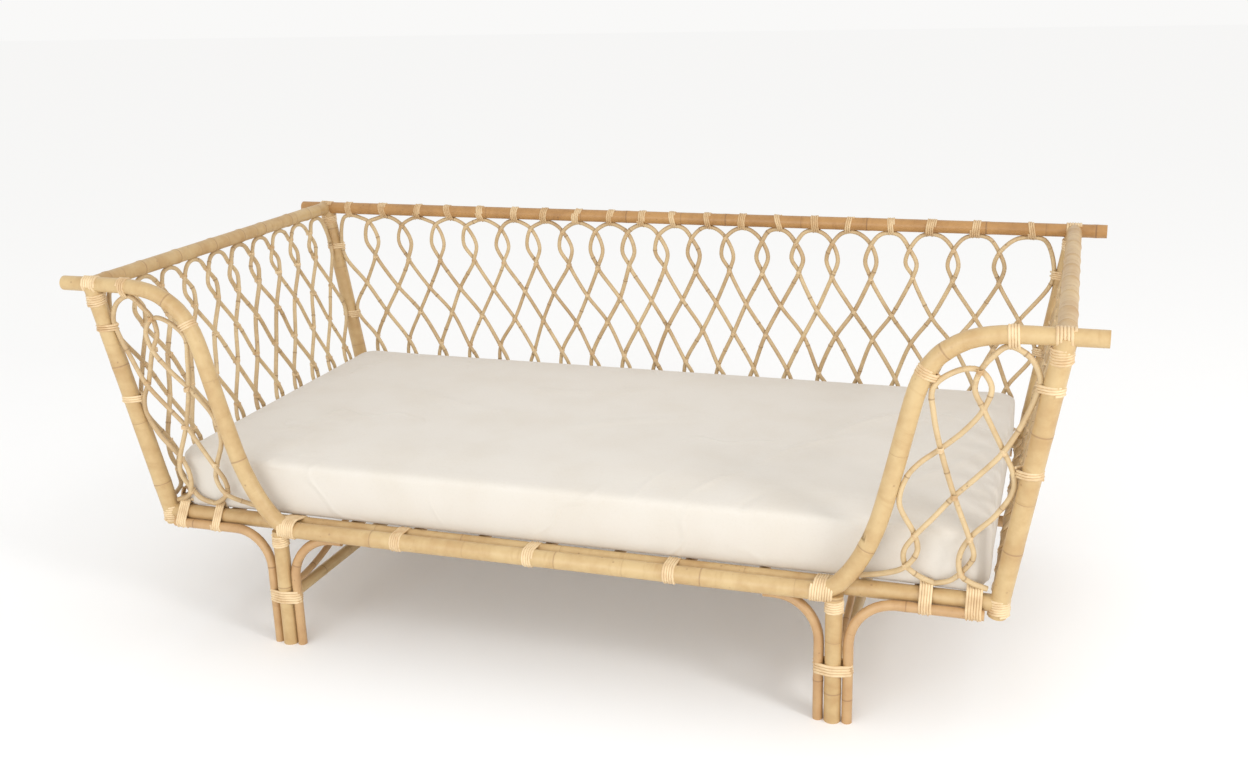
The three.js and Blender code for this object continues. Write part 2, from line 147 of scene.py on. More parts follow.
def make_light(name, place, aim, size, power, color=(1, 1, 1)):
    data = bpy.data.lights.new(name, "AREA")
    data.shape = "RECTANGLE"
    data.size = size[0]
    data.size_y = size[1]
    data.energy = power
    data.color = color
    lamp = bpy.data.objects.new(name, data)
    lamp.location = place
    lamp.rotation_euler = (Vector(aim) - Vector(place)).to_track_quat("-Z", "Y").to_euler()
    bpy.context.scene.collection.objects.link(lamp)


def make_world():
    world = bpy.data.worlds.new("studio")
    bpy.context.scene.world = world
    world.use_nodes = True
    sky = world.node_tree.nodes["Background"]
    sky.inputs["Color"].default_value = (1.0, 0.995, 0.985, 1)
    sky.inputs["Strength"].default_value = 0.95


make_camera()
make_floor()
make_world()
make_light("key", (-0.6, -4.2, 1.35), (0, 0, 0.4), (3.2, 1.8), 54,
           (0.94, 0.975, 1.0))
make_light("side", (3.4, -1.9, 2.3), (0.4, 0, 0.4), (0.9, 0.9), 46)
bpy.context.scene.view_settings.view_transform = "Standard"

# ---- shader groups ----------------------------------------------------------------------


class Nodes:
    """Shorthand for placing and joining shader nodes."""

    def __init__(self, tree):
        self.tree = tree

    def add(self, kind, **settings):
        node = self.tree.nodes.new(kind)
        for name, value in settings.items():
            setattr(node, name, value)
        return node

    def join(self, source, target):
        self.tree.links.new(source, target)

    def math(self, operation, first, second=None):
        node = self.add("ShaderNodeMath", operation=operation)
        for socket, value in zip(node.inputs, (first, second)):
            self.feed(value, socket)
        return node.outputs[0]

    def feed(self, value, socket):
        if value is None:
            return
        if isinstance(value, bpy.types.NodeSocket):
            self.join(value, socket)
        else:
            socket.default_value = value

    def noise(self, where, scale, detail=2.0, roughness=0.5):
        node = self.add("ShaderNodeTexNoise")
        self.feed(where, node.inputs["Vector"])
        node.inputs["Scale"].default_value = scale
        node.inputs["Detail"].default_value = detail
        node.inputs["Roughness"].default_value = roughness
        return node.outputs["Fac"]

    def span(self, value, low, high, to_low=0.0, to_high=1.0):
        node = self.add("ShaderNodeMapRange", interpolation_type="SMOOTHSTEP")
        self.feed(value, node.inputs["Value"])
        for name, number in (("From Min", low), ("From Max", high),
                             ("To Min", to_low), ("To Max", to_high)):
            node.inputs[name].default_value = number
        return node.outputs["Result"]

    def mix(self, share, first, second):
        node = self.add("ShaderNodeMix", data_type="RGBA")
        self.feed(share, node.inputs["Factor"])
        self.feed(first, node.inputs["A"])
        self.feed(second, node.inputs["B"])
        return node.outputs["Result"]


COLOR = "NodeSocketColor"
NUMBER = "NodeSocketFloat"


def new_group(name, inputs):
    """A group that puts out colour, roughness and height."""
    tree = bpy.data.node_groups.new(name, "ShaderNodeTree")
    for label, kind, value in inputs:
        socket = tree.interface.new_socket(label, in_out="INPUT", socket_type=kind)
        if value is not None:
            socket.default_value = value
    for label, kind in (("Color", COLOR), ("Roughness", NUMBER), ("Height", NUMBER)):
        tree.interface.new_socket(label, in_out="OUTPUT", socket_type=kind)
    nodes = Nodes(tree)
    return tree, nodes, nodes.add("NodeGroupInput").outputs, nodes.add("NodeGroupOutput").inputs


def cane_skin_group():
    """Colour, roughness and height of peeled cane: grain, flecks, stains and node rings."""
    tree, n, given, out = new_group(
        "cane_skin",
        [("Light", COLOR, (0.8, 0.6, 0.35, 1)), ("Dark", COLOR, (0.5, 0.3, 0.14, 1)),
         ("Ring", COLOR, (0.33, 0.19, 0.09, 1)), ("Mottle", NUMBER, 0.5),
         ("Flecks", NUMBER, 0.5)])
    where = n.add("ShaderNodeTexCoord").outputs["Object"]
    along = n.add("ShaderNodeAttribute", attribute_name="along").outputs["Fac"]
    node_far = n.add("ShaderNodeAttribute", attribute_name="node_far").outputs["Fac"]
    tint = n.add("ShaderNodeAttribute", attribute_name="tint").outputs["Fac"]

    patches = n.noise(where, 9.0, 3.0)
    mottle = n.noise(where, 42.0, 4.0, 0.6)
    fine = n.noise(where, 260.0, 2.0)
    tone = n.math("ADD", n.math("MULTIPLY", patches, 0.6), n.math("MULTIPLY", mottle, 0.4))
    tone = n.span(tone, 0.33, 0.70)
    tone = n.math("MULTIPLY", tone, given["Mottle"])
    tone = n.math("ADD", tone, tint)
    base = n.mix(tone, given["Light"], given["Dark"])

    # long thin streaks that run with the pole
    stretch = n.add("ShaderNodeCombineXYZ")
    n.join(along, stretch.inputs["X"])
    streak_place = n.add("ShaderNodeVectorMath", operation="ADD")
    scaled = n.add("ShaderNodeVectorMath", operation="SCALE")
    n.join(where, scaled.inputs[0])
    scaled.inputs["Scale"].default_value = 0.35
    n.join(stretch.outputs[0], streak_place.inputs[0])
    n.join(scaled.outputs[0], streak_place.inputs[1])
    streak = n.span(n.noise(streak_place.outputs[0], 34.0, 3.0, 0.65), 0.56, 0.72, 0.0, 0.35)
    base = n.mix(streak, base, given["Dark"])

    # small brown flecks
    cells = n.add("ShaderNodeTexVoronoi", feature="F1")
    n.join(where, cells.inputs["Vector"])
    cells.inputs["Scale"].default_value = 70.0
    spot = n.span(cells.outputs["Distance"], 0.10, 0.22, 1.0, 0.0)
    rare = n.span(n.noise(where, 16.0, 1.0), 0.56, 0.64)
    fleck = n.math("MULTIPLY", n.math("MULTIPLY", spot, rare), given["Flecks"])
    base = n.mix(fleck, base, given["Ring"])

    # node: a thin dark ring with a paler swelling on one side and a dirty one on the other
    near = n.math("ABSOLUTE", node_far)
    wander = n.math("MULTIPLY", n.math("SUBTRACT", mottle, 0.5), 0.0035)
    line = n.span(n.math("ADD", near, wander), 0.0004, 0.0024, 0.6, 0.0)
    halo = n.span(n.math("ABSOLUTE", n.math("ADD", node_far, 0.006)), 0.001, 0.012, 0.38, 0.0)
    base = n.mix(n.math("MULTIPLY", halo, mottle), base, given["Dark"])
    base = n.mix(line, base, given["Ring"])
    n.join(base, out["Color"])

    rough = n.math("ADD", n.math("MULTIPLY", mottle, 0.22), 0.34)
    n.join(rough, out["Roughness"])
    lift = n.math("ADD", n.math("MULTIPLY", fine, 0.25), n.math("MULTIPLY", mottle, 0.75))
    n.join(n.math("SUBTRACT", lift, n.math("MULTIPLY", line, 0.8)), out["Height"])
    return tree


def strand_skin_group():
    """Colour, roughness and height of split binding cane, with fibres along the strand."""
    tree, n, given, out = new_group(
        "strand_skin",
        [("Light", COLOR, (0.85, 0.7, 0.48, 1)), ("Dark", COLOR, (0.6, 0.42, 0.23, 1))])
    where = n.add("ShaderNodeTexCoord").outputs["Object"]
    along = n.add("ShaderNodeAttribute", attribute_name="along").outputs["Fac"]
    tint = n.add("ShaderNodeAttribute", attribute_name="tint").outputs["Fac"]
    patches = n.noise(where, 30.0, 3.0)
    fibre_place = n.add("ShaderNodeCombineXYZ")
    n.join(along, fibre_place.inputs["X"])
    fibres = n.noise(fibre_place.outputs[0], 120.0, 3.0)
    tone = n.math("ADD", n.span(patches, 0.35, 0.72, 0.0, 0.7), tint)
    tone = n.math("ADD", tone, n.span(fibres, 0.55, 0.75, 0.0, 0.3))
    n.join(n.mix(tone, given["Light"], given["Dark"]), out["Color"])
    n.join(n.span(patches, 0.2, 0.8, 0.42, 0.62), out["Roughness"])
    n.join(n.math("ADD", fibres, n.noise(where, 500.0, 2.0)), out["Height"])
    return tree


def cloth_weave_group():
    """Fine crossed threads with slubs and soft creases, for plain cotton."""
    tree, n, given, out = new_group(
        "cotton_weave",
        [("Cloth", COLOR, (0.85, 0.82, 0.75, 1)), ("Shade", COLOR, (0.74, 0.68, 0.58, 1)),
         ("Threads", NUMBER, 900.0)])
    where = n.add("ShaderNodeTexCoord").outputs["Object"]
    apart = n.add("ShaderNodeSeparateXYZ")
    n.join(where, apart.inputs[0])
    ribs = []
    for axis in ("X", "Y", "Z"):
        turn = n.math("MULTIPLY", apart.outputs[axis], given["Threads"])
        ribs.append(n.math("MULTIPLY", n.math("ADD", n.math("SINE", turn), 1.0), 0.5))
    weave = n.math("MULTIPLY", n.math("ADD", n.math("ADD", ribs[0], ribs[1]), ribs[2]), 0.33)
    slub = n.noise(where, 180.0, 3.0)
    soft = n.noise(where, 7.0, 3.0)
    tone = n.math("ADD", n.span(soft, 0.35, 0.75, 0.0, 0.45), n.span(slub, 0.5, 0.8, 0.0, 0.25))
    tone = n.math("ADD", tone, n.math("MULTIPLY", weave, 0.12))
    n.join(n.mix(tone, given["Cloth"], given["Shade"]), out["Color"])
    n.join(n.span(slub, 0.2, 0.8, 0.82, 0.97), out["Roughness"])
    # soft creases: thin ridges where a slow noise passes its middle, in some places only
    slow = n.noise(where, 5.5, 1.0)
    crease = n.span(n.math("ABSOLUTE", n.math("SUBTRACT", slow, 0.5)), 0.0, 0.035, 1.0, 0.0)
    crease = n.math("MULTIPLY", crease, n.span(n.noise(where, 2.6, 1.0), 0.5, 0.62))
    threads = n.math("MULTIPLY", n.math("ADD", weave, slub), 0.1)
    n.join(n.math("ADD", threads, crease), out["Height"])
    return tree


CANE_SKIN = cane_skin_group()
STRAND_SKIN = strand_skin_group()
COTTON_WEAVE = cloth_weave_group()


def skinned(name, group, values, bump, depth, sheen=0.0, coat=0.0):
    """A material whose surface comes from one shader group."""
    material = bpy.data.materials.new(name)
    material.use_nodes = True
    n = Nodes(material.node_tree)
    surface = material.node_tree.nodes["Principled BSDF"]
    skin = n.add("ShaderNodeGroup", node_tree=group)
    for label, value in values.items():
        skin.inputs[label].default_value = value
    relief = n.add("ShaderNodeBump")
    relief.inputs["Strength"].default_value = bump
    relief.inputs["Distance"].default_value = depth
    n.join(skin.outputs["Color"], surface.inputs["Base Color"])
    n.join(skin.outputs["Roughness"], surface.inputs["Roughness"])
    n.join(skin.outputs["Height"], relief.inputs["Height"])
    n.join(relief.outputs["Normal"], surface.inputs["Normal"])
    surface.inputs["Sheen Weight"].default_value = sheen
    surface.inputs["Sheen Roughness"].default_value = 0.6
    surface.inputs["Coat Weight"].default_value = coat
    surface.inputs["Coat Roughness"].default_value = 0.35
    return material


def cane_material(name, light, dark, ring, mottle, flecks, coat=0.12):
    values = {"Light": (*light, 1), "Dark": (*dark, 1), "Ring": (*ring, 1),
              "Mottle": mottle, "Flecks": flecks}
    return skinned(name, CANE_SKIN, values, 0.35, 0.0012, coat=coat)


POLE = cane_material("pole", (0.60, 0.43, 0.21), (0.43, 0.25, 0.095), (0.30, 0.165, 0.075),
                     0.7, 0.6)
DARK_POLE = cane_material("dark_pole", (0.49, 0.265, 0.092), (0.31, 0.147, 0.043),
                          (0.17, 0.08, 0.035), 0.65, 0.6)
THIN_CANE = cane_material("thin_cane", (0.57, 0.365, 0.175), (0.41, 0.22, 0.09),
                          (0.24, 0.12, 0.05), 0.6, 0.5)
WOVEN_CANE = cane_material("woven_cane", (0.63, 0.47, 0.26), (0.42, 0.27, 0.13),
                           (0.22, 0.12, 0.055), 0.7, 0.7, coat=0.05)
BINDING = skinned("binding", STRAND_SKIN,
                  {"Light": (0.80, 0.62, 0.38, 1), "Dark": (0.58, 0.38, 0.19, 1)},
                  0.4, 0.0008, coat=0.1)
COTTON = skinned("cotton", COTTON_WEAVE,
                 {"Cloth": (0.69, 0.645, 0.58, 1), "Shade": (0.635, 0.575, 0.49, 1),
                  "Threads": 2600.0},
                 0.3, 0.004, sheen=0.25)

# ---- canes: round tubes with growth nodes, swept along a path ------------------------------
chance = random.Random(20)


def arc_lengths(points):
    total = [0.0]
    for before, after in zip(points, points[1:]):
        total.append(total[-1] + (after - before).length)
    return total


def resample(points, spots):
    """Points at the given distances along a path."""
    total = arc_lengths(points)
    found = []
    k = 0
    for spot in spots:
        while k < len(points) - 2 and total[k + 1] < spot:
            k += 1
        step = max(total[k + 1] - total[k], 1e-9)
        share = min(1.0, max(0.0, (spot - total[k]) / step))
        found.append(points[k].lerp(points[k + 1], share))
    return found


def rounded(points, steps=8):
    """A smooth path through the given points."""
    padded = [points[0] * 2 - points[1], *points, points[-1] * 2 - points[-2]]
    path = []
    for a, b, c, d in zip(padded, padded[1:], padded[2:], padded[3:]):
        t1 = max((b - a).length, 1e-6) ** 0.5
        t2 = t1 + max((c - b).length, 1e-6) ** 0.5
        t3 = t2 + max((d - c).length, 1e-6) ** 0.5
        for k in range(steps):
            t = t1 + (t2 - t1) * k / steps
            ab = a.lerp(b, t / t1)
            bc = b.lerp(c, (t - t1) / (t2 - t1))
            cd = c.lerp(d, (t - t2) / (t3 - t2))
            abc = ab.lerp(bc, t / t2)
            bcd = bc.lerp(cd, (t - t1) / (t3 - t1))
            path.append(abc.lerp(bcd, (t - t1) / (t2 - t1)))
    path.append(points[-1].copy())
    return path


class Cane:
    """One length of cane: its path, thickness, node places and tint."""

    NODE_STEPS = (-4.0, -2.2, -1.3, -0.7, -0.25, 0.0, 0.25, 0.7, 1.3, 2.2, 4.0)

    def __init__(self, path, radius, spacing, step, taper=0.0, wobble=0.012, tint=None,
                 swell=0.045):
        self.tint = chance.uniform(-0.12, 0.2) if tint is None else tint
        length = arc_lengths(path)[-1]
        self.nodes = []
        if spacing:
            spot = chance.uniform(0.2, 0.8) * spacing
            while spot < length:
                self.nodes.append(spot)
                spot += spacing * chance.uniform(0.75, 1.25)
        count = max(2, round(length / step))
        spots = {length * k / count for k in range(count + 1)}
        width = radius * 0.5
        for node in self.nodes:
            spots = {s for s in spots if abs(s - node) > width * 0.8}
            spots |= {min(length, max(0.0, node + k * width * 0.5)) for k in self.NODE_STEPS}
        self.spots = sorted(spots)
        self.points = resample(path, self.spots)
        drift = chance.uniform(0, 6.28)
        self.radii = []
        self.far = []
        for spot in self.spots:
            near = min((spot - node for node in self.nodes), key=abs, default=1.0)
            self.far.append(max(-0.05, min(0.05, near)))
            ridge = math.exp(-(near / (width * 0.9)) ** 2) * swell
            groove = math.exp(-(near / (width * 0.18)) ** 2) * swell * 0.55
            wave = math.sin(spot * 9.0 + drift) * wobble
            lean = taper * (spot / length - 0.5)
            self.radii.append(radius * (1 + ridge - groove + wave + lean))


def cane_piece(name, canes, material, nodes=(), sides=12):
    """One piece of the frame, made of swept tubes that keep their values as attributes."""
    curve = bpy.data.curves.new(name, "CURVE")
    curve.dimensions = "3D"
    curve.fill_mode = "FULL"
    curve.bevel_depth = 1.0
    curve.bevel_resolution = (sides - 4) // 2
    curve.use_fill_caps = True
    for cane in canes:
        spline = curve.splines.new("POLY")
        spline.points.add(len(cane.points) - 1)
        for point, place, radius in zip(spline.points, cane.points, cane.radii):
            point.co = (*place, 1)
            point.radius = radius
    holder = bpy.data.objects.new(name + "_path", curve)
    bpy.context.scene.collection.objects.link(holder)
    bpy.context.view_layer.update()
    mesh = bpy.data.meshes.new_from_object(holder.evaluated_get(
        bpy.context.evaluated_depsgraph_get()))
    bpy.data.objects.remove(holder)
    bpy.data.curves.remove(curve)
    write_cane_values(mesh, canes)
    mesh.name = name
    mesh.materials.clear()
    mesh.materials.append(material)
    mesh.polygons.foreach_set("use_smooth", [True] * len(mesh.polygons))
    piece = bpy.data.objects.new(name, mesh)
    bpy.context.scene.collection.objects.link(piece)
    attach(piece, "frame")
    if nodes:
        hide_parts(*nodes)


def pole_piece(name, pole, node, sides=20):
    cane_piece(name, [pole], POLE, [node], sides)


def tie_piece(name, strands, nodes=(), sides=10):
    cane_piece(name, strands, BINDING, nodes, sides)


def write_cane_values(mesh, canes):
    """Each vertex takes the values of the path point that it surrounds."""
    rows = [(place, spot, far, cane.tint) for cane in canes
            for place, spot, far in zip(cane.points, cane.spots, cane.far)]
    tree = KDTree(len(rows))
    for k, row in enumerate(rows):
        tree.insert(row[0], k)
    tree.balance()
    found = [rows[tree.find(vertex.co)[1]] for vertex in mesh.vertices]
    for name, column in (("along", 1), ("node_far", 2), ("tint", 3)):
        layer = mesh.attributes.new(name, "FLOAT", "POINT")
        layer.data.foreach_set("value", [row[column] for row in found])


# ---- wound bindings -------------------------------------------------------------------------
def hull_path(circles, grow, turns, pitch, start, steps=20, slant=0.0):
    """A strand wound round a set of circles (a, b, radius), as (a, b, along) points."""
    path = []
    for k in range(round(turns * steps) + 1):
        angle = 2 * math.pi * k / steps + start
        toward = (math.cos(angle), math.sin(angle))
        a, b, radius = max(circles,
                           key=lambda c: c[0] * toward[0] + c[1] * toward[1] + c[2])
        out = radius + grow
        path.append((a + toward[0] * out, b + toward[1] * out,
                     pitch * (k / steps - turns / 2) + slant * math.sin(angle)))
    return path


def wound(circles, center, axes, turns, width, slant=0.0, darker=0.0):
    """A wound binding as one strand; axes are the two section axes and the winding's."""
    grow = width * 0.05
    start = chance.uniform(0, 6.28)
    path = hull_path(circles, grow, turns, width * 0.98, start, slant=slant)
    u, v, w = axes
    points = [center + u * a + v * b + w * c for a, b, c in path]
    return Cane(points, width / 2, None, 0.012, wobble=0.05,
                tint=chance.uniform(-0.1, 0.35) + darker)


X = Vector((1, 0, 0))
Y = Vector((0, 1, 0))
Z = Vector((0, 0, 1))
STRAND = 0.0053

# ---- poles and rails --------------------------------------------------------------------------
ARM_SHAPE = (
    (-0.14, 0), (-0.06, 0.004), (0, 0.027), (0.063, 0.077), (0.121, 0.144), (0.193, 0.265),
    (0.264, 0.464), (0.329, 0.676), (0.354, 0.755), (0.389, 0.835), (0.452, 0.907),
    (0.52, 0.947), (0.588, 0.974), (0.666, 0.989), (0.756, 0.998), (0.86, 1), (1, 1),
)


def arm_path(side):
    points = []
    for across, up in ARM_SHAPE:
        z = BASE_Z + RISE * up
        points.append(Vector((side * (LEG_X + (TOP_X - LEG_X) * across), arm_y(z), z)))
    points.append(Vector((side * ARM_END, ARM_Y, TOP_Z)))
    return rounded(points)


arm_right = arm_path(1)


def build_bent_pole():
    left = [Vector((-p.x, p.y, p.z)) for p in reversed(arm_right)]
    pole = Cane([*left, *arm_right], FRONT_POLE_R, 0.36, 0.02, tint=-0.05, swell=0.03)
    for k, place in enumerate(pole.points):
        thinner = max(0.0, abs(place.x) - LEG_X) / (ARM_END - LEG_X)
        pole.radii[k] *= 1 - 0.13 * thinner
    pole_piece("bent_pole", pole, "bent_front_pole")


def straight(start, end, radius, spacing, tint=0.0, swell=0.04, step=0.04, taper=0.0):
    return Cane([Vector(start), Vector(end)], radius, spacing, step, taper=taper, tint=tint,
                swell=swell)


def build_rails():
    cane_piece("back_rail",
               [straight((-RAIL_END, BACK_Y, TOP_Z), (RAIL_END, BACK_Y, TOP_Z), TOP_R * 0.97,
                         0.30, 0.1)],
               DARK_POLE, ["back_top_rail"], sides=20)
    for tag, side in SIDES:
        rail = straight((side * TOP_X, ARM_Y, TOP_Z), (side * TOP_X, BACK_Y, TOP_Z),
                        TOP_R * 1.02, 0.125, 0.12, swell=0.09)
        pole_piece(f"end_rail_{tag}", rail, f"end_top_rail_{tag}")
        low = FOOT_Z
        front = straight((side * post_x(low), post_y(low), low),
                         (side * post_x(TOP_Z), post_y(TOP_Z), TOP_Z),
                         POST_R, 0.27, -0.02, taper=0.06 * side)
        pole_piece(f"front_post_{tag}", front, f"post_front_{tag}")
        back = straight((side * post_x(low), BACK_Y, low), (side * post_x(TOP_Z), BACK_Y, TOP_Z),
                        POST_R, 0.21, 0.15)
        pole_piece(f"back_post_{tag}", back, f"post_back_{tag}")
        base = straight((side * FOOT_X, FRAME_Y, BASE_Z), (side * FOOT_X, BACK_Y, BASE_Z),
                        BASE_R, 0.3, 0.1)
        pole_piece(f"base_end_pole_{tag}", base, f"base_end_rail_{tag}")
    for name, y in (("front", FRAME_Y), ("back", BACK_Y)):
        base = straight((-FOOT_X, y, BASE_Z), (FOOT_X, y, BASE_Z), BASE_R, 0.42, 0.12)
        pole_piece(f"base_{name}_pole", base, f"base_{name}_rail")


def build_deck():
    for name in sorted(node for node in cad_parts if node.startswith("slat_")):
        low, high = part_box(name)
        x = (low.x + high.x) / 2
        radius = (high.x - low.x) / 2
        slat = straight((x, low.y, BASE_Z), (x, high.y, BASE_Z), radius, 0.3, 0.2)
        cane_piece(f"deck_{name}", [slat], THIN_CANE, [name])
    low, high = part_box("deck_bearer")
    y = (low.y + high.y) / 2
    z = (low.z + high.z) / 2
    bearer = straight((low.x, y, z), (high.x, y, z), (high.z - low.z) / 2, 0.3, 0.2)
    cane_piece("bearer", [bearer], THIN_CANE, ["deck_bearer"], sides=14)


def side_cane_path(node, side, way):
    """Up beside the leg, round a quarter bend, then under the rail."""
    low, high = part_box(node)
    toward = side * way
    x0 = low.x + CANE_R if toward > 0 else high.x - CANE_R
    tip = high.x if toward > 0 else low.x
    y0 = FRONT_Y if "front" in node else BACK_Y
    y1 = y0
    if "front" in node:
        y1 = high.y - CANE_R
    z_end = high.z - CANE_R
    bend = min(CANE_BEND, abs(tip - x0) - 0.02)
    points = [Vector((x0, y0, low.z)), Vector((x0, y0, z_end - bend))]
    for k in range(1, 13):
        a = math.pi / 2 * k / 12
        points.append(Vector((x0 + toward * bend * (1 - math.cos(a)), y0 + (y1 - y0) * k / 12,
                              z_end - bend + bend * math.sin(a))))
    points.append(Vector((tip, y1, z_end)))
    return points


def build_legs():
    for tag, side in SIDES:
        for row in ("front", "back"):
            y = FRONT_Y if row == "front" else BACK_Y
            top = BASE_Z - 0.004
            leg = straight((side * LEG_X, y, 0), (side * LEG_X, y, top), LEG_R, 0.24, 0.05)
            pole_piece(f"leg_pole_{row}_{tag}", leg, f"leg_{row}_{tag}")
            for place, way in (("outer", 1), ("inner", -1)):
                node = f"leg_cane_{place}_{row}_{tag}"
                cane = Cane(side_cane_path(node, side, way), CANE_R, 0.26, 0.012,
                            tint=0.1, swell=0.05)
                cane_piece(f"side_cane_{place}_{row}_{tag}", [cane], THIN_CANE,
                           [node], sides=14)


def build_stretchers():
    for tag, side in SIDES:
        low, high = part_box(f"stretcher_{tag}")
        z = (low.z + high.z) / 2
        bar = straight((side * LEG_X, low.y - 0.005, z), (side * LEG_X, high.y + 0.005, z),
                       (high.z - low.z) / 2, 0.28, 0.05)
        pole_piece(f"stretcher_pole_{tag}", bar, f"stretcher_{tag}", sides=16)
        low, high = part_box(f"stretcher_arch_{tag}")
        points = []
        for k in range(25):
            t = k / 24
            rise = (1 - math.cos(2 * math.pi * t)) / 2
            points.append(Vector((side * LEG_X, low.y + (high.y - low.y) * t,
                                  low.z + ARCH_R + (high.z - low.z - 2 * ARCH_R) * rise)))
        arch = Cane(points, ARCH_R, 0.2, 0.015, tint=0.1)
        cane_piece(f"arch_cane_{tag}", [arch], THIN_CANE, [f"stretcher_arch_{tag}"])


# ---- woven panels -------------------------------------------------------------------------------
WEAVE_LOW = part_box("back_weave")[0].z + WEAVE_R
WEAVE_TOP = TOP_Z - TOP_R - WEAVE_R * 0.7
RIM = POST_R + WEAVE_R * 1.1
BACK_EYE = (0.020, 0.0125)
END_EYE = (0.0165, 0.0165)
WOVEN_R = 0.0054
BACK_ARCHES = 20
END_ARCHES = 10
# heights of the crossings as shares of the panel's height, at its start and its end
BACK_ROWS = {"head": (0.955, 0.915), "foot": (0.757, 0.770), "second": (0.608, 0.573),
             "third": (0.447, 0.428), "fourth": (0.285, 0.222), "low": (0.09, 0.09)}
END_ROWS = {"head": (0.935, 0.935), "foot": (0.794, 0.794), "second": (0.618, 0.618),
            "third": (0.445, 0.445), "fourth": (0.246, 0.246), "low": (0.09, 0.09)}
HUG = 0.005


class Panel:
    """A woven panel: arches whose legs cross their neighbours' in rows, knotted together."""

    def __init__(self, count, rows, eye, place, loose):
        self.count = count
        self.rows = rows
        self.eye = eye
        self.place = place
        self.loose = loose
        self.shifts = {}
        self.knots = {}

    def shift(self, row, u):
        """The hand-made error of one crossing, the same for both canes."""
        key = (row, round(u * 2))
        if key not in self.shifts:
            self.shifts[key] = (chance.uniform(-1, 1) * self.loose,
                                chance.uniform(-1, 1) * self.loose * 0.8)
        return self.shifts[key]

    def between(self, ends, u):
        return ends[0] + (ends[1] - ends[0]) * min(1.0, max(0.0, u / self.count)) ** 1.4

    def at_edge(self, u):
        return u <= 1e-6 or u >= self.count - 1e-6

    def point(self, u, share, push=0.0, off=0.0, lift=0.0):
        z = WEAVE_LOW + (WEAVE_TOP - WEAVE_LOW) * share + lift
        u = min(self.count, max(0.0, u))
        return self.place(u, z, share, push, off)

    def crossing(self, way, row, u, number):
        """Where a cane runs past another; at the foot of an eye they hug for a moment."""
        side, lift = self.shift(row, u)
        share = self.between(self.rows[row], u)
        if self.at_edge(u):
            return [self.point(u, share)]
        off = WEAVE_R * 0.82 * (1 if (number + (way > 0)) % 2 else -1)
        self.knots[(row, round(u * 2))] = self.point(u, share, side, 0.0, lift)
        if row != "foot":
            return [self.point(u, share, side, off, lift)]
        hug = WEAVE_R * 0.35 * way
        upper = self.point(u, share, side + hug, off, lift + HUG)
        lower = self.point(u, share, side - hug, off, lift - HUG)
        return [upper, lower]

    def leg(self, c, way):
        side = c + way * 0.5
        edge = self.at_edge(side)
        eye = self.between(self.eye, side)
        head, foot, fourth, low_foot = (self.between(self.rows[row], side)
                                        for row in ("head", "foot", "fourth", "low"))
        points = [self.point(c, 1), self.point(c + way * 0.26, 0.986)]
        if not edge:
            points += self.crossing(way, "head", side, 0)
        slip = self.shift("head", side)[0] * 0.5 + self.shift("foot", side)[0] * 0.5
        points.append(self.point(side, (head + foot) / 2, 0 if edge else slip + eye * way))
        points += self.crossing(way, "foot", side, 1)
        points += self.crossing(way, "second", c, 2)
        back = c - way * 0.5
        points += self.crossing(way, "third", back, 3)
        turned = -1 if self.at_edge(back) else 1
        low = c if turned < 0 else c - way
        points += self.crossing(way * turned, "fourth", low, 4)
        points.append(self.point(low, (fourth + low_foot) / 2, -0.013 * turned * way))
        points += self.crossing(way * turned, "low", low, 5)
        points.append(self.point(low + turned * way * 0.14, 0.03))
        points.append(self.point(low + turned * way * 0.45, 0.004))
        return points

    def canes(self):
        made = []
        for k in range(self.count):
            right = self.leg(k + 0.5, 1)
            left = self.leg(k + 0.5, -1)
            path = rounded([*reversed(left), *right[1:]], steps=6)
            made.append(Cane(path, WOVEN_R * chance.uniform(0.94, 1.06), 0.19, 0.008,
                             wobble=0.03, swell=0.16))
        return made


def back_place(u, z, share, push, off):
    v = 2 * u / BACK_ARCHES - 1
    flared = v * (0.935 + 0.065 * v * v)
    later = ((v + 1) / 2) ** 1.5
    hand = (1 - v ** 8) * (-0.008 - 0.018 * later + 0.11 * later * (0.76 - share))
    return Vector((flared * (post_x(z) - RIM) + hand + push, BACK_Y + off, z))


def end_place(side):
    def place(u, z, share, push, off):
        front = post_y(z) + RIM
        back = BACK_Y - RIM
        y = front + (back - front) * u / END_ARCHES
        return Vector((side * (post_x(z) + off), y + push, z))
    return place


def knot(center, out, along, number):
    """A few turns of thin strand holding two crossing canes together."""
    across = out.cross(along)
    circles = ((0, -WEAVE_R * 0.8, WEAVE_R), (0, WEAVE_R * 0.8, WEAVE_R))
    start = chance.uniform(0, 6.28)
    path = hull_path(circles, 0.0009, number, 0.0024, start, steps=10,
                     slant=chance.uniform(-0.002, 0.002))
    points = [center + across * a + out * b + along * c for a, b, c in path]
    return Cane(points, 0.0012, None, 0.005, wobble=0.0, tint=chance.uniform(0.0, 0.6))


def build_panels():
    panel = Panel(BACK_ARCHES, BACK_ROWS, BACK_EYE, back_place, 0.006)
    cane_piece("back_weaving", panel.canes(), WOVEN_CANE, ["back_weave"], sides=8)
    knots = [knot(spot, Y, Z, 3) for spot in panel.knots.values()]
    tie_piece("back_knots", knots, sides=6)
    for tag, side in SIDES:
        panel = Panel(END_ARCHES, END_ROWS, END_EYE, end_place(side), 0.004)
        cane_piece(f"end_weaving_{tag}", panel.canes(), WOVEN_CANE,
                   [f"end_weave_{tag}"], sides=8)
        knots = [knot(spot, X, Z, 3) for spot in panel.knots.values()]
        tie_piece(f"end_knots_{tag}", knots, sides=6)


